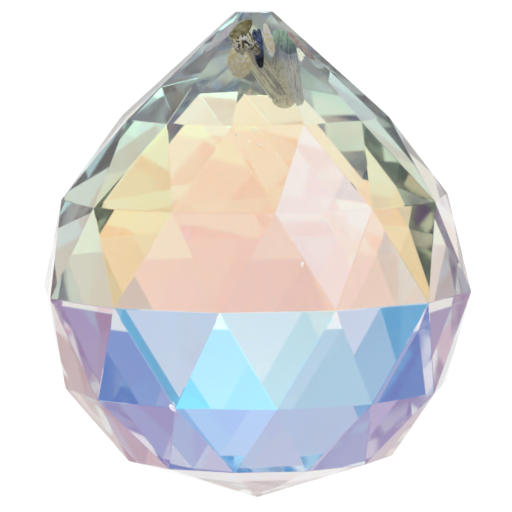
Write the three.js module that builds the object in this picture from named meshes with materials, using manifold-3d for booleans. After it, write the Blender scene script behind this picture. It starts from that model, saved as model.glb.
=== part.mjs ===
// A hanging crystal ball (suncatcher): one solid piece of cut and polished glass.
// Five rings of corners, joined by bands of triangular facets, make the ball. A cone of
// twelve long facets rises from the top ring to a small flat table, and a low cone closes
// the bottom in a point. The hanging hole is a V of two drilled legs that meet inside the
// cone, so a cord goes in at one mouth and comes out at the other. The drill has spalled
// shells of glass off round the mouths.
// Units are millimetres, +Z is up, and -Y is the front, midway between the two mouths.
// The origin lies on the ball's axis, level with the mouths of the hanging hole.
import * as THREE from "three";
import { mergeVertices } from "three/addons/utils/BufferGeometryUtils.js";
import Module from "manifold-3d";

// Driving dimensions.
const SIDES = 12; // corners in every ring
const MOUTHS_ABOVE_GIRDLE = 23.1; // height of the origin over the widest ring

// The rings from top to bottom: radius to the corners, height over the widest ring, and
// whether the ring is turned by half a side against the widest one.
const RINGS = [
  { radius: 1.75, height: 25.65, turned: false }, // rim of the table
  { radius: 12.45, height: 16.05, turned: false }, // foot of the cone
  { radius: 17.9, height: 8.6, turned: true },
  { radius: 20.0, height: 0.0, turned: false }, // the girdle, the widest ring
  { radius: 17.7, height: -8.9, turned: true },
  { radius: 12.6, height: -15.3, turned: false }, // rim of the bottom cone
];
const POINT_HEIGHT = -19.4; // the point under the bottom cone, over the widest ring

// The hanging hole. Each leg runs from a point in its mouth to its end inside the glass,
// and the left leg ends inside the right one.
const DRILL_RADIUS = 1.1;
const DRILL_SIDES = 32;
const DRILL_OVERSHOOT = 8; // how far each cutter stands out past its mouth
const LEGS = [
  { mouth: [2.4, -3.75, 0.4], end: [2.1, -4.75, -7.35] },
  { mouth: [-1.9, -3.9, -0.1], end: [2.05, -4.8, -5.8] },
];

// The spalls are shallow ellipsoids centred on the cone's facets. Each is given by its
// azimuth from the front towards +X in degrees, the height of its centre over the origin,
// and its half sizes across the facet, up the facet and into the glass.
const SPALLS = [
  { azimuth: -30, height: -1.6, half: [1.5, 2.1, 0.5] }, // under the left mouth
  { azimuth: -26, height: 1.55, half: [0.75, 1.3, 0.4] }, // over it, into the table's rim
  { azimuth: 43, height: 0.0, half: [0.55, 1.6, 0.35] }, // beside the right mouth
];
const SPALL_DETAIL = 3; // subdivisions of the ball that cuts each spall

// A point of a ring. Azimuth is measured from the front (-Y) towards +X.
function ringPoint(ring, index) {
  const azimuth = ((index + (ring.turned ? 0 : 0.5)) * 2 * Math.PI) / SIDES;
  return new THREE.Vector3(
    ring.radius * Math.sin(azimuth),
    -ring.radius * Math.cos(azimuth),
    ring.height - MOUTHS_ABOVE_GIRDLE,
  );
}

// The two triangles between side k of one ring and the ring under it. A turned corner
// lies half a side before the straight corner of the same number.
function bandFaces(upper, k) {
  const at = (ring, corner) => ring * SIDES + (corner % SIDES);
  const lower = upper + 1;
  if (RINGS[lower].turned) {
    return [
      [at(upper, k), at(lower, k), at(lower, k + 1)],
      [at(upper, k), at(lower, k + 1), at(upper, k + 1)],
    ];
  }
  return [
    [at(upper, k), at(lower, k), at(upper, k + 1)],
    [at(upper, k + 1), at(lower, k), at(lower, k + 1)],
  ];
}

// The cut ball as one closed surface of triangles.
function cutBall() {
  const points = RINGS.flatMap((ring) =>
    Array.from({ length: SIDES }, (_, k) => ringPoint(ring, k)),
  );
  const tableCentre = points.push(new THREE.Vector3(0, 0, points[0].z)) - 1;
  const bottomPoint =
    points.push(new THREE.Vector3(0, 0, POINT_HEIGHT - MOUTHS_ABOVE_GIRDLE)) - 1;
  const lastRing = (RINGS.length - 1) * SIDES;
  const faces = [];
  for (let k = 0; k < SIDES; k++) {
    const next = (k + 1) % SIDES;
    faces.push([tableCentre, k, next]);
    faces.push([bottomPoint, lastRing + next, lastRing + k]);
    for (let upper = 0; upper + 1 < RINGS.length; upper++) {
      faces.push(...bandFaces(upper, k));
    }
  }
  return new THREE.BufferGeometry().setFromPoints(points).setIndex(faces.flat());
}

// One leg of the hanging hole: a round bar from outside the mouth to the leg's end.
function legCutter({ mouth, end }) {
  const outward = new THREE.Vector3().subVectors(
    new THREE.Vector3(...mouth),
    new THREE.Vector3(...end),
  );
  const length = outward.length() + DRILL_OVERSHOOT;
  outward.normalize();
  const up = new THREE.Vector3(0, 1, 0); // a three.js cylinder stands along Y
  return new THREE.CylinderGeometry(DRILL_RADIUS, DRILL_RADIUS, length, DRILL_SIDES)
    .translate(0, length / 2, 0)
    .applyQuaternion(new THREE.Quaternion().setFromUnitVectors(up, outward))
    .translate(...end);
}

// One spall's cutter: a ball squashed to its half sizes and laid into the cone's side.
function spallCutter({ azimuth, height, half }) {
  const [table, foot] = RINGS;
  const flat = Math.cos(Math.PI / SIDES); // a facet's middle against its corners
  const run = (foot.radius - table.radius) * flat;
  const rise = table.height - foot.height;
  const drop = table.height - MOUTHS_ABOVE_GIRDLE - height;
  const reach = table.radius * flat + (drop * run) / rise;
  const [across, up, into] = half;
  return new THREE.IcosahedronGeometry(1, SPALL_DETAIL)
    .scale(across, into, up)
    .rotateX(-Math.atan2(run, rise)) // lean back with the facet
    .translate(0, -reach, height)
    .rotateZ(THREE.MathUtils.degToRad(azimuth));
}

// A three.js geometry as a manifold-3d solid, with its shared corners merged.
function toSolid(wasm, geometry) {
  const bare = geometry.clone();
  bare.deleteAttribute("normal");
  bare.deleteAttribute("uv");
  const merged = mergeVertices(bare, 1e-5);
  return new wasm.Manifold(
    new wasm.Mesh({
      numProp: 3,
      vertProperties: merged.attributes.position.array,
      triVerts: new Uint32Array(merged.index.array),
    }),
  );
}

// A manifold-3d solid as a three.js geometry with flat facets.
function toGeometry(solid) {
  const { vertProperties, triVerts } = solid.getMesh();
  const geometry = new THREE.BufferGeometry()
    .setAttribute("position", new THREE.BufferAttribute(vertProperties, 3))
    .setIndex(new THREE.BufferAttribute(triVerts, 1))
    .toNonIndexed();
  geometry.computeVertexNormals();
  return geometry;
}

const wasm = await Module();
wasm.setup();
const cutters = [...LEGS.map(legCutter), ...SPALLS.map(spallCutter)];
const crystal = cutters.reduce(
  (solid, cutter) => solid.subtract(toSolid(wasm, cutter)),
  toSolid(wasm, cutBall()),
);

// Clear crystal glass under a thin pearly coating.
const coatedCrystal = new THREE.MeshStandardMaterial({
  color: "#cfd3e4",
  roughness: 0.03,
  metalness: 0,
  transparent: true,
  opacity: 0.45,
});

const ball = new THREE.Mesh(toGeometry(crystal), coatedCrystal);
ball.name = "crystal_ball";

const suncatcher = new THREE.Group();
suncatcher.add(ball);
export default suncatcher;
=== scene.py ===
# %% [markdown]
# # A hanging crystal ball
# The object is a suncatcher: one piece of clear crystal glass, cut into twelve sides and
# 121 flat facets, polished, and coated with a pearly film far thinner than a hair. A
# V-shaped hole is drilled through the top of it for a cord. The frame below holds the
# finished solid, with the hole and three chips. The polished edges, the drill marks and
# the other chips are too fine for that solid, so the ball is built again here from the
# same ring sizes and then cut, and it takes the solid's place in the picture. The three
# chips and the legs of the hole don't lie quite where they do in the solid.

# %% Load the solid
import math

import bmesh
import bpy
import numpy as np
from mathutils import Matrix, Vector


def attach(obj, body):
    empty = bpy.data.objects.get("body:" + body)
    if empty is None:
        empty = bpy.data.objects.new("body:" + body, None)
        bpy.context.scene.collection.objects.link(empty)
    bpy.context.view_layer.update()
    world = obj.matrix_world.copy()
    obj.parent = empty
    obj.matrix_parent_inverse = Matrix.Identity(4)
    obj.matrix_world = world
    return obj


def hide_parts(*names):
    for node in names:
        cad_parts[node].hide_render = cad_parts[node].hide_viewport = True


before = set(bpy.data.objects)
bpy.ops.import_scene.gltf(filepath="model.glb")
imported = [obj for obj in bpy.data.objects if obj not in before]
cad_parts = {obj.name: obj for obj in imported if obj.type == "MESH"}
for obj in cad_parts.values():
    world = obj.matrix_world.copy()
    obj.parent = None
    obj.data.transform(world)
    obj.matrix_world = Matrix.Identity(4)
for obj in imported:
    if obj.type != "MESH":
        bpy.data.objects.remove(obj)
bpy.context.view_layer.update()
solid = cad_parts["crystal_ball"]

# %% [markdown]
# ## Millimetres
# The frame is in metres, but a cutter thinks in millimetres, so sizes are written in
# millimetres and turned into metres where they are used. The origin lies on the ball's
# axis, level with the mouths of the hole, and the widest ring is below it.

# %% Sizes of the ball
MM = 0.001
GIRDLE = -23.1  # height of the widest ring
GIRDLE_RADIUS = 20.0
POINT = -42.5  # height of the lowest point


def direction(azimuth, elevation):
    """Unit vector from the ball towards an azimuth from the front (-Y) towards +X and an
    elevation over the horizon, in degrees: (sin a cos e, -cos a cos e, sin e)."""
    a, e = math.radians(azimuth), math.radians(elevation)
    return Vector((math.sin(a) * math.cos(e), -math.cos(a) * math.cos(e), math.sin(e)))


# %% [markdown]
# ## Camera
# A long lens from well back keeps the facets' outlines undistorted, as a jeweller's
# catalogue does. The camera looks slightly down on the widest ring, and its axis passes
# a little over that ring so the ball sits in the middle of the frame.

# %% Camera
CAMERA_AZIMUTH, CAMERA_ELEVATION = -5.68, 6.06
CAMERA_DISTANCE = 430.5
LENS = 327.8
TILT_UP = 0.41  # degrees the axis is raised from the middle of the widest ring
ROLL = -0.42

girdle_middle = Vector((0, 0, GIRDLE * MM))
back = direction(CAMERA_AZIMUTH, CAMERA_ELEVATION)
camera = bpy.data.objects.new("camera", bpy.data.cameras.new("camera"))
bpy.context.scene.collection.objects.link(camera)
camera.data.lens = LENS
camera.data.sensor_width = 36
camera.data.clip_start, camera.data.clip_end = 0.01, 50
camera.data.dof.use_dof = False
turn = (-back).to_track_quat("-Z", "Y").to_matrix()
turn = turn @ Matrix.Rotation(math.radians(ROLL), 3, "Z")
turn = turn @ Matrix.Rotation(math.radians(TILT_UP), 3, "X")
stand = Matrix.Translation(girdle_middle + back * CAMERA_DISTANCE * MM)
camera.matrix_world = stand @ turn.to_4x4()
bpy.context.scene.camera = camera
print("camera at", [round(1000 * v) for v in camera.location], "mm")

# %% [markdown]
# ## Small helpers for materials
# Colours are written as sRGB hex, as a paint chart gives them, and the renderer wants
# linear light, so one function converts them. One more function adds a node, sets its
# values and links its inputs, which keeps each material readable as a recipe.


# %% Helpers
def colour(hex_code):
    """sRGB hex to linear RGBA: c/12.92 below 0.04045, else ((c + 0.055)/1.055)^2.4."""
    c = np.array([int(hex_code[i : i + 2], 16) for i in (1, 3, 5)]) / 255
    linear = np.where(c <= 0.04045, c / 12.92, ((c + 0.055) / 1.055) ** 2.4)
    return (*linear.tolist(), 1.0)


def add(tree, kind, settings=None, **inputs):
    """Adds one node. Settings are its properties. Each input is a value or a link."""
    node = tree.nodes.new(kind)
    for name, value in (settings or {}).items():
        setattr(node, name, value)
    for name, value in inputs.items():
        socket = node.inputs[int(name[1:]) if name[1:].isdigit() else name.replace("_", " ")]
        if isinstance(value, bpy.types.NodeSocket):
            tree.links.new(value, socket)
        else:
            socket.default_value = value
    return node


def new_material(name):
    """An empty material and its tree, with the output node in place."""
    material = bpy.data.materials.new(name)
    material.use_nodes = True
    tree = material.node_tree
    tree.nodes.clear()
    tree.nodes.new("ShaderNodeOutputMaterial")
    return material, tree


def finish_material(tree, shader):
    """Links a shader to the output of a material's tree."""
    output = next(n for n in tree.nodes if n.type == "OUTPUT_MATERIAL")
    tree.links.new(shader, output.inputs["Surface"])


# %% [markdown]
# ## Studio light
# Clear glass has no look of its own: it shows the room, bent and turned upside down.
# The upper facets bend the view down to the table, and the lower ones bend it up into
# the room. A clear ball in an even white room would vanish, so it needs dark things to
# show. Here it hangs over a white light table in a dim grey room with a dark ceiling,
# between two dark curtains. There is one window behind it, one lamp in front and one
# under the table. All of that light is one recipe, which gives the brightness seen from
# the ball in any direction. Both the room and the table top use it, so they meet without
# a seam. The lights are set one by one and judged, after a search over many lights
# had shown which directions matter.

# %% One recipe for the light
ROOM, TABLE = 0.35, 0.75  # brightness of the room, and what the table adds to it
SOFT_EDGE = 0.6  # how much of each patch of light is its soft edge
# Each patch: azimuth and elevation of its middle, half its width, what it adds.
LIGHT = {
    "window behind": (180, 50, 35, 0.25),
    "lamp in front": (30, 45, 20, 0.55),
    "dark ceiling overhead": (0, 90, 25, -0.3),
    "dark curtain on the left": (-120, 20, 30, -0.4),
    "dark curtain on the right": (120, 20, 30, -0.3),
    "lamp under the table": (0, -55, 20, 1.2),
}

light = bpy.data.node_groups.new("light from a direction", "ShaderNodeTree")
light.interface.new_socket("Direction", in_out="INPUT", socket_type="NodeSocketVector")
light.interface.new_socket("Brightness", in_out="OUTPUT", socket_type="NodeSocketFloat")
towards = add(light, "NodeGroupInput").outputs["Direction"]
upward = add(light, "ShaderNodeSeparateXYZ", Vector=towards).outputs["Z"]
smooth = {"interpolation_type": "SMOOTHSTEP"}
total = add(
    light,
    "ShaderNodeMapRange",
    smooth,
    Value=upward,
    From_Min=-0.1,
    From_Max=0.25,
    To_Min=ROOM + TABLE,
    To_Max=ROOM,
).outputs["Result"]
for name, (azimuth, elevation, half, adds) in LIGHT.items():
    middle = direction(azimuth, elevation)
    nearness = add(
        light, "ShaderNodeVectorMath", {"operation": "DOT_PRODUCT"}, i0=towards, i1=middle
    ).outputs["Value"]
    patch = add(
        light,
        "ShaderNodeMapRange",
        smooth,
        Value=nearness,
        From_Min=math.cos(math.radians(half * (1 + SOFT_EDGE))),
        From_Max=math.cos(math.radians(half * (1 - SOFT_EDGE))),
        To_Min=0.0,
        To_Max=adds,
    ).outputs["Result"]
    adding = {"operation": "ADD", "label": name}
    total = add(light, "ShaderNodeMath", adding, i0=total, i1=patch).outputs[0]
kept = add(light, "ShaderNodeMath", {"operation": "MAXIMUM"}, i0=total, i1=0.0).outputs[0]
add(light, "NodeGroupOutput", Brightness=kept)
print("light recipe:", len(LIGHT), "patches over a room and a table")

# %% Room
world = bpy.data.worlds.new("soft room")
bpy.context.scene.world = world
world.use_nodes = True
room = world.node_tree
room.nodes.clear()
seen = add(room, "ShaderNodeTexCoord").outputs["Generated"]
from_room = add(room, "ShaderNodeGroup", {"node_tree": light}, Direction=seen)
glow = add(room, "ShaderNodeBackground", Color=(1, 1, 1, 1), Strength=from_room.outputs[0])
add(room, "ShaderNodeOutputWorld", Surface=glow.outputs["Background"])
bpy.context.scene.view_settings.view_transform = "Standard"
bpy.context.scene.view_settings.look = "None"
BOUNCES = 24  # a ray may cross the cone many times before it finds its way out
bpy.context.scene.cycles.max_bounces = BOUNCES
bpy.context.scene.cycles.glossy_bounces = BOUNCES
bpy.context.scene.cycles.transmission_bounces = BOUNCES

# %% [markdown]
# ## Table
# The ball hangs well over a plain white table top of opal acrylic, lit from underneath.
# It is far larger than the view, so its edge never shows.

# %% Table top
TABLE_DROP = 260.0  # from the ball's point down to the table
TABLE_RADIUS = 6000.0
RIM_CORNERS = 96

table_height = (POINT - TABLE_DROP) * MM
rim = np.linspace(0, 2 * np.pi, RIM_CORNERS, endpoint=False)
x, y = TABLE_RADIUS * MM * np.cos(rim), TABLE_RADIUS * MM * np.sin(rim)
corners = np.stack([x, y, np.full(RIM_CORNERS, table_height)], 1)
table_mesh = bpy.data.meshes.new("table_top")
table_mesh.from_pydata(corners.tolist(), [], [list(range(RIM_CORNERS))])
table_top = bpy.data.objects.new("table_top", table_mesh)
bpy.context.scene.collection.objects.link(table_top)
acrylic, tree = new_material("opal acrylic lit from below")
place = add(tree, "ShaderNodeTexCoord").outputs["Object"]
from_ball = add(
    tree, "ShaderNodeVectorMath", {"operation": "SUBTRACT"}, i0=place, i1=girdle_middle
).outputs["Vector"]
line = add(tree, "ShaderNodeVectorMath", {"operation": "NORMALIZE"}, i0=from_ball).outputs["Vector"]
lit = add(tree, "ShaderNodeGroup", {"node_tree": light}, Direction=line)
opal = add(tree, "ShaderNodeEmission", Color=(1, 1, 1, 1), Strength=lit.outputs[0])
finish_material(tree, opal.outputs["Emission"])
table_mesh.materials.append(acrylic)

# %% [markdown]
# ## Faceted ball
# Such a ball can be cut on a wheel, ring by ring, against a head with twelve stops. So
# its corners lie on six rings, every second ring turned by half a stop, and the facets
# are the triangles between them. A facet must stay dead flat, because glass bends the
# view by the tilt of its faces alone, so the corners come from those rings and nothing
# smooths them. The hole is cut afterwards.

# %% Corners and facets
STOPS = 12
RINGS = np.array(  # radius, height over the widest ring, turned by half a stop
    [
        (1.75, 25.65, 0),
        (12.45, 16.05, 0),
        (17.9, 8.6, 1),
        (20.0, 0.0, 0),
        (17.7, -8.9, 1),
        (12.6, -15.3, 0),
    ]
)


def ring_corners(rings, stops):
    """Corners of every ring: azimuth (k + 1/2 or k) x 360/stops from the front, at
    (r sin a, -r cos a, z)."""
    k = np.arange(stops)[None, :] + np.where(rings[:, 2:] > 0, 0.0, 0.5)
    a = 2 * np.pi * k / stops
    r, z = rings[:, :1], rings[:, 1:2] + GIRDLE + 0 * k
    return np.stack([r * np.sin(a), -r * np.cos(a), z], -1).reshape(-1, 3)


def band_triangles(upper, turned, stops):
    """The two triangles under each stop between a ring and the next one down. A turned
    corner lies half a stop before the straight corner of the same number."""
    k = np.arange(stops)
    here, after = upper * stops + k, upper * stops + (k + 1) % stops
    below, below_after = here + stops, after + stops
    if turned:
        first, second = (here, below, below_after), (here, below_after, after)
    else:
        first, second = (here, below, after), (after, below, below_after)
    return np.concatenate([np.stack(first, 1), np.stack(second, 1)])


def add_piece(name, points, faces, materials):
    """A new object at the origin from points in millimetres and a list of faces."""
    mesh = bpy.data.meshes.new(name)
    mesh.from_pydata((np.asarray(points) * MM).tolist(), [], [list(f) for f in faces])
    for material in materials:
        mesh.materials.append(material)
    piece = bpy.data.objects.new(name, mesh)
    bpy.context.scene.collection.objects.link(piece)
    return piece


corners = ring_corners(RINGS, STOPS)
centre_of_table = len(corners)
tip = centre_of_table + 1
corners = np.vstack([corners, (0, 0, RINGS[0, 1] + GIRDLE), (0, 0, POINT)])
k = np.arange(STOPS)
facets = [np.stack([np.full(STOPS, centre_of_table), k, (k + 1) % STOPS], 1)]
facets += [band_triangles(n, RINGS[n + 1, 2] > 0, STOPS) for n in range(len(RINGS) - 1)]
last = (len(RINGS) - 1) * STOPS
facets += [np.stack([np.full(STOPS, tip), last + (k + 1) % STOPS, last + k], 1)]
facets = np.concatenate(facets)
first, second, third = (corners[facets[:, i]] for i in range(3))
facet_normals = np.cross(second - first, third - first)
facet_normals /= np.linalg.norm(facet_normals, axis=1)[:, None]
facet_offsets = (facet_normals * first).sum(1)
print("ball:", len(corners), "corners,", len(facets), "triangles")

# %% [markdown]
# ## Coated crystal
# Crystal glass has an index of about 1.52, and its faint tint shows most along a ray
# that crosses the ball several times. Light bounces off both sides of the thin film, and
# where the bounces are in step they add up: a facet that reflects blue lets peach
# through. The film's index of 3 was found by trial and gives the colours their
# strength. It is higher than that of a single clear oxide layer. The tint of the glass
# was found by trial too. The slight roughness softens the view through the ball.

# %% Coated crystal
GLASS_INDEX, FILM_INDEX = 1.52, 3.0
POLISH = 0.045  # roughness of the facets
LOSS = 7.0  # light lost per metre is this x (1 - the tint)
TINT_OF_GLASS = (0.2, 0.29, 0.29, 1.0)


def give_body(tree):
    """The inside of the glass, which every surface of the ball shares."""
    body = add(tree, "ShaderNodeVolumeAbsorption", Color=TINT_OF_GLASS, Density=LOSS)
    output = next(n for n in tree.nodes if n.type == "OUTPUT_MATERIAL")
    tree.links.new(body.outputs[0], output.inputs["Volume"])


coated, tree = new_material("coated crystal glass")
film_outside = add(tree, "ShaderNodeAttribute", {"attribute_name": "film"}).outputs["Fac"]
from_inside = add(tree, "ShaderNodeNewGeometry").outputs["Backfacing"]
times_plus, times = {"operation": "MULTIPLY_ADD"}, {"operation": "MULTIPLY"}
scale = add(tree, "ShaderNodeMath", times_plus, i0=from_inside, i1=GLASS_INDEX - 1, i2=1.0)
film_thickness = add(
    tree, "ShaderNodeMath", times, i0=film_outside, i1=scale.outputs[0]
).outputs[0]
glass = add(
    tree,
    "ShaderNodeBsdfPrincipled",
    Base_Color=(1, 1, 1, 1),
    Roughness=POLISH,
    IOR=GLASS_INDEX,
    Transmission_Weight=1.0,
    Thin_Film_Thickness=film_thickness,
    Thin_Film_IOR=FILM_INDEX,
)
finish_material(tree, glass.outputs["BSDF"])
give_body(tree)

# %% [markdown]
# ## Ground walls of the hole
# Such a hole can be drilled with a thin tube fed with grit and water, which leaves a
# grey, frosted wall with streaks along the drill's travel. The streaks are noise
# stretched along the axis of each leg: about 0.2 mm across and 2 mm long.

# %% Legs of the hole
DRILL_RADIUS = 1.1
LEGS = {  # a point in the mouth, and the end inside the glass
    "right": (np.array([2.4, -3.75, 0.4]), np.array([2.0, -4.75, -7.8])),
    "left": (np.array([-1.4, -4.1, 0.0]), np.array([1.9, -4.8, -6.4])),
}


def axes_along(line):
    """Three unit vectors: two across a line and one along it."""
    along = line / np.linalg.norm(line)
    across = np.cross(along, (0.0, 1.0, 0.0))
    across /= np.linalg.norm(across)
    return across, np.cross(along, across), along


def streaks(tree, line, width, length, detail=3.0):
    """Noise in object space, stretched along a line: cells width across, length along."""
    place = add(tree, "ShaderNodeTexCoord").outputs["Object"]
    parts = []
    dot = {"operation": "DOT_PRODUCT"}
    for axis, size in zip(axes_along(line), (width, width, length)):
        along = add(tree, "ShaderNodeVectorMath", dot, i0=place, i1=axis / (size * MM))
        parts.append(along.outputs["Value"])
    where = add(tree, "ShaderNodeCombineXYZ", X=parts[0], Y=parts[1], Z=parts[2])
    noise = add(
        tree, "ShaderNodeTexNoise", Vector=where.outputs[0], Scale=1.0, Detail=detail, Roughness=0.65
    )
    return noise.outputs["Fac"]


def ramp(tree, value, stops):
    """A colour ramp over a value from (position, hex) pairs."""
    node = add(tree, "ShaderNodeValToRGB", Fac=value)
    elements = node.color_ramp.elements
    while len(elements) < len(stops):
        elements.new(0.5)
    for element, (position, hex_code) in zip(elements, stops):
        element.position, element.color = position, colour(hex_code)
    return node.outputs["Color"]


def blend(tree, kind, amount, below_, above):
    """Two colours blended: MIX, MULTIPLY and so on."""
    settings = {"data_type": "RGBA", "blend_type": kind}
    return add(tree, "ShaderNodeMix", settings, i0=amount, i6=below_, i7=above).outputs[2]


def height_over(tree, low, high):
    """0 at the lower height and 1 at the upper one, in millimetres."""
    place = add(tree, "ShaderNodeTexCoord").outputs["Object"]
    z = add(tree, "ShaderNodeSeparateXYZ", Vector=place).outputs["Z"]
    rise = add(tree, "ShaderNodeMapRange", Value=z, From_Min=low * MM, From_Max=high * MM)
    return rise.outputs["Result"]


STREAK = 0.22, 2.2  # millimetres across and along
GRAIN = 0.13, 0.3
TINTED = -2.6, 0.2  # heights between which the wall's tint changes


# Painted shade and painted highlights for a hole's mouth, with grit: black cells stand for the shade
# inside the hole, white cells for highlights, olive and cream cells for grit.
PAINTED_SHADE_GRIT_AND_HIGHLIGHTS = [(0.0, "#080806"), (0.25, "#2A2717"), (0.36, "#A89C68"), (0.7, "#F2EBCB"), (0.9, "#FFFFFF")]


def ground_wall(name, line, shades, tints, painted_shade_and_highlight_heights=None):
    """Frosted glass: streaked shades, tints from 2.6 mm down up to the mouth, a grainy
    bump, and where heights are given, painted shade and painted highlights at the mouth:
    black cells for the shade inside the hole, white cells for highlights, grit between."""
    material, tree = new_material(name)
    streak = streaks(tree, line, *STREAK)
    grain = streaks(tree, line, *GRAIN, 2.0)
    mixed = add(tree, "ShaderNodeMath", times_plus, i0=grain, i1=0.45, i2=-0.22).outputs[0]
    value = add(tree, "ShaderNodeMath", {"operation": "ADD"}, i0=streak, i1=mixed).outputs[0]
    wall = ramp(tree, value, list(zip((0.36, 0.5, 0.66), shades)))
    near_mouth = height_over(tree, *TINTED)
    tint = ramp(tree, near_mouth, list(zip((0.0, 0.4, 1.0), tints)))
    shade = blend(tree, "MULTIPLY", 1.0, wall, tint)
    # Painted shade and painted highlights at the mouth, mixed in over the given heights.
    if painted_shade_and_highlight_heights:
        place = add(tree, "ShaderNodeTexCoord").outputs["Object"]
        cells = add(tree, "ShaderNodeTexVoronoi", Vector=place, Scale=1 / (0.2 * MM))
        cell = add(tree, "ShaderNodeSeparateColor", Color=cells.outputs["Color"]).outputs[0]
        crushed = ramp(tree, cell, PAINTED_SHADE_GRIT_AND_HIGHLIGHTS)
        shade = blend(tree, "MIX", height_over(tree, *painted_shade_and_highlight_heights), shade, crushed)
    bump = add(tree, "ShaderNodeBump", Strength=0.8, Distance=0.05 * MM, Height=value)
    frosted = add(
        tree,
        "ShaderNodeBsdfPrincipled",
        Base_Color=shade,
        Roughness=0.5,
        IOR=GLASS_INDEX,
        Transmission_Weight=0.12,
        Normal=bump.outputs["Normal"],
    )
    finish_material(tree, frosted.outputs["BSDF"])
    give_body(tree)
    return material


right_line = LEGS["right"][0] - LEGS["right"][1]
left_line = LEGS["left"][0] - LEGS["left"][1]
WALL_SHADES = "#B8B2A8", "#FFFDF8", "#FFFFFF"
right_tints = "#FFFFFF", "#CCDAF4", "#BCE0CA"
left_tints = "#FFFFFF", "#FAF4EA", "#C8BC90"
right_wall = ground_wall("ground glass, right leg", right_line, WALL_SHADES, right_tints)
# The left wall gets painted shade and painted highlights at its mouth, fading in from 1.2 mm under the
# mouths to full at 0.4 mm under.
left_wall = ground_wall("ground glass, left leg", left_line, WALL_SHADES, left_tints, (-1.2, -0.4))

# %% [markdown]
# ## Chips round the mouths
# Glass breaks in shells. Under the left mouth the break is crushed and sugary, full of
# tiny faces that catch the light, and it looks cream. Over it the shell is smooth and
# shows the olive of thick glass.


# %% Broken glass
def broken_glass(name, low, high, grain, roughness, clear, rim="#FFFBE6", fade=None):
    """Fractured glass: grains of a real size, each painted lighter or darker as painted
    sparkle from its tiny faces, a painted highlight along the rim within 0.15 mm of the
    facet on the crushed edge, a bump, and a fade of tints over the height."""
    material, tree = new_material(name)
    place = add(tree, "ShaderNodeTexCoord").outputs["Object"]
    cells = add(tree, "ShaderNodeTexVoronoi", Vector=place, Scale=1 / (grain * MM))
    sparkle = add(tree, "ShaderNodeSeparateColor", Color=cells.outputs["Color"]).outputs[0]
    cloud = add(tree, "ShaderNodeTexNoise", Vector=place, Scale=1 / (0.9 * MM), Detail=3.0)
    value = add(tree, "ShaderNodeMath", times_plus, i0=sparkle, i1=0.5, i2=-0.25).outputs[0]
    plus = {"operation": "ADD"}
    value = add(tree, "ShaderNodeMath", plus, i0=value, i1=cloud.outputs["Fac"]).outputs[0]
    shade = ramp(tree, value, [(0.25, low), (0.75, high)])
    if fade:
        tints = [(n / (len(fade) - 1), tint) for n, tint in enumerate(fade)]
        shade = blend(tree, "MULTIPLY", 1.0, shade, ramp(tree, height_over(tree, -2.7, 1.5), tints))
    # Painted highlight along the rim: within 0.15 mm of the facet the colour is mixed towards the rim
    # colour, a pale line round each break.
    under_ = add(tree, "ShaderNodeAttribute", {"attribute_name": "depth"}).outputs["Fac"]
    fades = {"From_Min": 0.02, "From_Max": 0.15, "To_Min": 0.85, "To_Max": 0.0}
    edge = add(tree, "ShaderNodeMapRange", Value=under_, **fades)
    shade = blend(tree, "MIX", edge.outputs["Result"], shade, colour(rim))
    bump = add(tree, "ShaderNodeBump", Strength=1.0, Distance=0.06 * MM, Height=value)
    shader = add(
        tree,
        "ShaderNodeBsdfPrincipled",
        Base_Color=shade,
        Roughness=roughness,
        IOR=GLASS_INDEX,
        Transmission_Weight=clear,
        Normal=bump.outputs["Normal"],
    )
    finish_material(tree, shader.outputs["BSDF"])
    give_body(tree)
    return material


# The last colour given to each is the painted highlight along its rim.
sugary = broken_glass("crushed glass of the big chip", "#EEDDA0", "#FFFDF0", 0.16, 0.35, 0.15, "#FFF4B4")
shell = broken_glass("smooth shell fracture", "#8A7F4A", "#DAD2A6", 0.45, 0.2, 0.3, "#F4EFD0")
frost = broken_glass("frosted rub on the left facet", "#E6E2F4", "#FFFFFF", 0.16, 0.35, 0.0, "#FFFFFF")
pink = broken_glass("crushed rim of the right mouth", "#E2C2B8", "#FFF6F2", 0.2, 0.35, 0.3, "#FFE6DE")
# Painted reflection: an opaque pale strip on a chip, standing for a bright reflection in the glass.
cream = broken_glass("cream painted reflection", "#F4E8BE", "#FFFEF6", 0.4, 0.25, 0.0, "#FFFFF4")
# Painted reflection: an opaque chip painted dark blue, black at its low end, where the glass shows a
# dark reflection. The fade over the height and the dim rim are part of it.
painted_dark_reflection = broken_glass(
    "dark painted reflection", "#6A7488", "#D4DCF2", 0.25, 0.12, 0.0, "#8E9AB4",
    ("#060606", "#0C0F1C", "#7C8EB4", "#90A0C0", "#3C4434"),
)

# %% [markdown]
# ## Drills and chisels
# What cuts the ball is made as surfaces too. A leg is a profile of radii carried along
# its axis: straight, with a rounded nose, and with grooves that wander as the drill goes
# in. A chip is a ball squashed flat, with the ripples that run out from where the glass
# was struck. A Boolean modifier takes them away from the ball, and each cut face keeps
# the material of the tool that cut it.


# %% Tool surfaces
DRILL_CORNERS = 72  # round each leg
NOSE_ROWS, WALL_ROWS = 14, 75
GROOVES, GRIT = (26, 5), (36, 40)  # noise cells round and along a leg
RIPPLES, STRUCK_AT = 16, 1.1  # radians per half size, from this height on a chip
OUTLINE_CELLS, FINE_CELLS = (7, 3), (28, 20)


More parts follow.
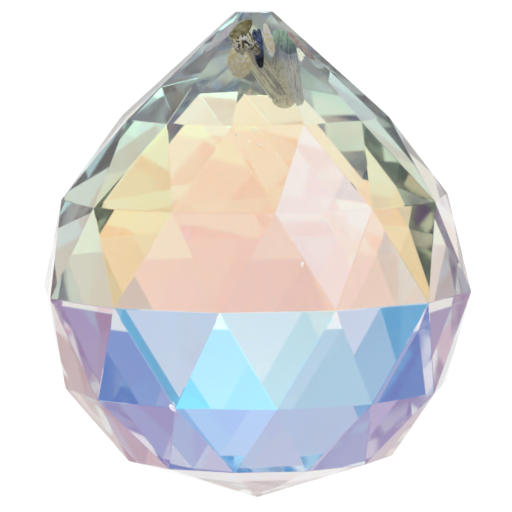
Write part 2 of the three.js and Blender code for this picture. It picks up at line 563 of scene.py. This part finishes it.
def wrapped_noise(shape, cells, seed):
    """Smooth random heights from -1 to 1 on a grid that wraps round its first side:
    random values at coarse cells, joined by cosine curves."""
    rng = np.random.default_rng(seed)
    rows, columns = cells
    values = rng.uniform(-1, 1, (rows, columns + 1))
    u = np.arange(shape[0]) * rows / shape[0]
    v = np.linspace(0, columns, shape[1])
    i, j = np.floor(u).astype(int), np.minimum(np.floor(v).astype(int), columns - 1)
    fu = (0.5 - 0.5 * np.cos(np.pi * (u - i)))[:, None]
    fv = (0.5 - 0.5 * np.cos(np.pi * (v - j)))[None, :]
    at = lambda a, b: values[np.ix_(a % rows, b)]
    return (at(i, j) * (1 - fv) + at(i, j + 1) * fv) * (1 - fu) + (
        at(i + 1, j) * (1 - fv) + at(i + 1, j + 1) * fv
    ) * fu


def tube_faces(around, rows, start):
    """Quads of a tube of rows of corners, and a fan of triangles that closes each end."""
    k = np.arange(around)
    after = (k + 1) % around
    quads = [
        np.stack([k, after, around + after, around + k], 1) + r * around
        for r in range(rows - 1)
    ]
    low = np.stack([np.full(around, start), (k + 1) % around, k], 1)
    top = (rows - 1) * around
    high = np.stack([np.full(around, start + 1), top + k, top + (k + 1) % around], 1)
    return [f for block in (*quads, low, high) for f in block.tolist()]


def drill(name, mouth, end, nose, groove, seed, material):
    """Radius over depth: sqrt(1 - (1 - t/nose)^2) of the drill's radius within the nose,
    the full radius after it, plus grooves. Runs from the end to 8 mm past the mouth."""
    around = DRILL_CORNERS
    across, other, along = axes_along(mouth - end)
    reach = np.linalg.norm(mouth - end)
    rounded = nose * (1 - np.cos(np.linspace(0.12, np.pi / 2, NOSE_ROWS)))
    straight = np.linspace(nose, reach + 1.5, WALL_ROWS)[1:]
    depth = np.concatenate([rounded, straight, [reach + 4, reach + 8]])
    rows = len(depth)
    rounding = np.sqrt(np.clip(1 - (1 - np.minimum(depth / nose, 1)) ** 2, 0, 1))
    grooves = wrapped_noise((around, rows), GROOVES, seed)
    grit = wrapped_noise((around, rows), GRIT, seed + 1)
    relief = groove * (grooves + 0.6 * grit)
    relief[:, -2:] = 0
    radius = DRILL_RADIUS * rounding[None, :] * (1 + relief / DRILL_RADIUS)
    angle = 2 * np.pi * np.arange(around)[:, None] / around
    points = (
        end
        + depth[None, :, None] * along
        + (radius * np.cos(angle))[..., None] * across
        + (radius * np.sin(angle))[..., None] * other
    )
    points = points.transpose(1, 0, 2).reshape(-1, 3)
    points = np.vstack([points, end, end + depth[-1] * along])
    return add_piece(name, points, tube_faces(around, rows, len(points) - 2), [material])


def surface_at(azimuth, height):
    """Where a level line from the axis leaves the ball, and the facet's normal there:
    the smallest (offset - n_z h) / (n . u) over the facets that face the line's way."""
    a = math.radians(azimuth)
    u = np.array([math.sin(a), -math.cos(a), 0.0])
    facing_it = facet_normals @ u
    towards_line = np.where(facing_it > 1e-6, facing_it, np.nan)
    reach = (facet_offsets - facet_normals[:, 2] * height) / towards_line
    nearest = np.nanargmin(reach)
    return reach[nearest] * u + (0, 0, height), facet_normals[nearest]


def chisel(name, azimuth, height, half, lean, ripple, seed, material, fine=(56, 34)):
    """A squashed ball on a facet: half sizes across, up and into the glass, turned by
    lean degrees in the facet. Its depth is scaled by 1 + ripples, which run out from its
    upper end, and its outline by 1 + wandering noise."""
    around, rows = fine
    centre, out = surface_at(azimuth, height)
    side = np.cross((0.0, 0.0, 1.0), out)
    side /= np.linalg.norm(side)
    rise = np.cross(out, side)
    turned = math.radians(lean)
    side, rise = (
        side * math.cos(turned) + rise * math.sin(turned),
        rise * math.cos(turned) - side * math.sin(turned),
    )
    latitude = np.linspace(-np.pi / 2, np.pi / 2, rows + 2)[1:-1]
    angle = 2 * np.pi * np.arange(around)[:, None] / around
    x = np.cos(latitude) * np.cos(angle)
    z = np.cos(latitude) * np.sin(angle)
    y = np.sin(latitude) + 0 * angle
    uneven = wrapped_noise((around, rows), OUTLINE_CELLS, seed)
    small = wrapped_noise((around, rows), FINE_CELLS, seed + 1)
    y = y * (1 + ripple * np.sin(RIPPLES * np.hypot(x, z - STRUCK_AT)) + 1.5 * ripple * small)
    spread = 1 + 0.3 * uneven + 0.07 * small
    across, up, into = half
    points = (
        centre
        + (across * x * spread)[..., None] * side
        + (up * z * spread)[..., None] * rise
        + (into * y)[..., None] * out
    )
    points = points.transpose(1, 0, 2).reshape(-1, 3)
    points = np.vstack([points, centre - into * out, centre + into * out])
    return add_piece(name, points, tube_faces(around, rows, len(points) - 2), [material])


# %% Make the tools
tools = [
    drill("right_drill", *LEGS["right"], 1.0, 0.035, 11, right_wall),
    drill("left_drill", *LEGS["left"], 0.4, 0.03, 23, left_wall),
    chisel("big_chip", -17, -1.8, (1.0, 1.9, 0.45), 24, 0.10, 5, sugary),
    chisel("shell_over_mouth", -28, 1.0, (0.75, 1.55, 0.4), -12, 0.05, 7, shell),
    chisel("left_rub", -54, 0.5, (0.75, 2.0, 0.12), -14, 0.25, 15, frost),
    # A chip that carries the dark painted reflection.
    chisel("dark_painted_reflection", -0.9, -0.4, (0.48, 2.7, 0.35), -2, 0.03, 17, painted_dark_reflection),
    # A chip that carries the pale painted reflection.
    chisel("cream_painted_reflection", 12, 0.0, (0.42, 1.9, 0.25), 4, 0.05, 19, cream),
    chisel("right_rim", 53, -0.4, (0.6, 1.7, 0.3), -6, 0.12, 9, pink),
]
scatter = np.random.default_rng(4)
SPECKS = 5  # tiny chips scattered under the mouths
for n in range(SPECKS):
    azimuth, height = scatter.uniform(-28, -3), scatter.uniform(-9, -6)
    speck_size = (0.14, 0.17, 0.05)
    tools.append(chisel(f"speck_{n}", azimuth, height, speck_size, 0, 0, 31 + n, coated, (16, 10)))
tools.append(chisel("nick_low", -31, -32, (0.3, 0.45, 0.22), 20, 0.1, 41, frost, (24, 14)))
tools.append(chisel("nick_high", 7, -19, (0.2, 0.26, 0.1), 0, 0.1, 43, coated, (24, 14)))
for tool in tools:
    mesh = tool.data
    work = bmesh.new()
    work.from_mesh(mesh)
    bmesh.ops.recalc_face_normals(work, faces=work.faces)
    work.to_mesh(mesh)
    work.free()
print("tools:", [(t.name, len(t.data.polygons)) for t in tools])

# %% Cut the ball
EDGE = 0.045  # millimetres taken off the edges by polishing
SHARPEST_KEPT = 3  # degrees between facets, under which an edge stays
LEAST_LEFT, MOST_LEFT = 0.99, 0.9995  # share of the glass that is left after the cuts


def weigh(mesh):
    """Volume in cubic millimetres, and how many edges don't join exactly two faces."""
    work = bmesh.new()
    work.from_mesh(mesh)
    volume = work.calc_volume() / MM**3
    open_edges = sum(not edge.is_manifold for edge in work.edges)
    work.free()
    return volume, open_edges


ball = add_piece("cut_glass_ball", corners, facets.tolist(), [coated])
whole, _ = weigh(ball.data)
rounded = ball.modifiers.new("edges after polishing", "BEVEL")
rounded.width, rounded.segments, rounded.limit_method = EDGE * MM, 1, "ANGLE"
rounded.angle_limit = math.radians(SHARPEST_KEPT)
for tool in tools:
    cut = ball.modifiers.new(tool.name, "BOOLEAN")
    cut.operation, cut.solver, cut.object = "DIFFERENCE", "EXACT", tool
    cut.material_mode = "TRANSFER"
shaped = ball.evaluated_get(bpy.context.evaluated_depsgraph_get())
finished = bpy.data.meshes.new_from_object(shaped)
ball.modifiers.clear()
ball.data = finished
for tool in tools:
    bpy.data.objects.remove(tool, do_unlink=True)
print("ball after cutting:", len(finished.vertices), "corners,", len(finished.polygons), "faces")
left, open_edges = weigh(finished)
used = sorted({polygon.material_index for polygon in finished.polygons})
print("glass left:", round(left, 1), "of", round(whole, 1), "cubic mm, open edges:", open_edges)
print("materials in use:", [finished.materials[i].name for i in used])
if not LEAST_LEFT < left / whole < MOST_LEFT:
    raise RuntimeError("a cut has failed: too much or too little glass is left")

# %% [markdown]
# ## How thick the film is
# Neighbouring facets of a coated ball differ in colour, so the film may not be the same
# all over. How it varies on a real ball is not known here. This is a plain guess: a
# little thicker on the facets that face front or back than on the others.

# %% Film thickness on each facet
BASE_FILM = 85.0  # nanometres, on a facet that faces sideways, up or down
FRONT_FILM = 32.0  # more on a facet that faces straight to the front or back


def film_thickness_of(facing):
    """Base + front x cos^2 of the angle between the facet's facing and the front."""
    return BASE_FILM + FRONT_FILM * facing[:, 1] ** 2


facing = np.empty(3 * len(finished.polygons))
finished.polygons.foreach_get("normal", facing)
film = film_thickness_of(facing.reshape(-1, 3))
thickness = finished.attributes.new("film", "FLOAT", "FACE")
thickness.data.foreach_set("value", film.astype(np.float32))
print("film from", round(film.min()), "to", round(film.max()), "nm")

# %% Depth of each corner under the uncut facets, in millimetres
spots = np.empty(3 * len(finished.vertices))
finished.vertices.foreach_get("co", spots)
under = (facet_offsets - spots.reshape(-1, 3) / MM @ facet_normals.T).min(1)
depth_ = finished.attributes.new("depth", "FLOAT", "POINT")
depth_.data.foreach_set("value", under.astype(np.float32))
print("deepest cut", round(under.max(), 2), "mm")

# %% Put the ball in the frame
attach(ball, "root")
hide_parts("crystal_ball")
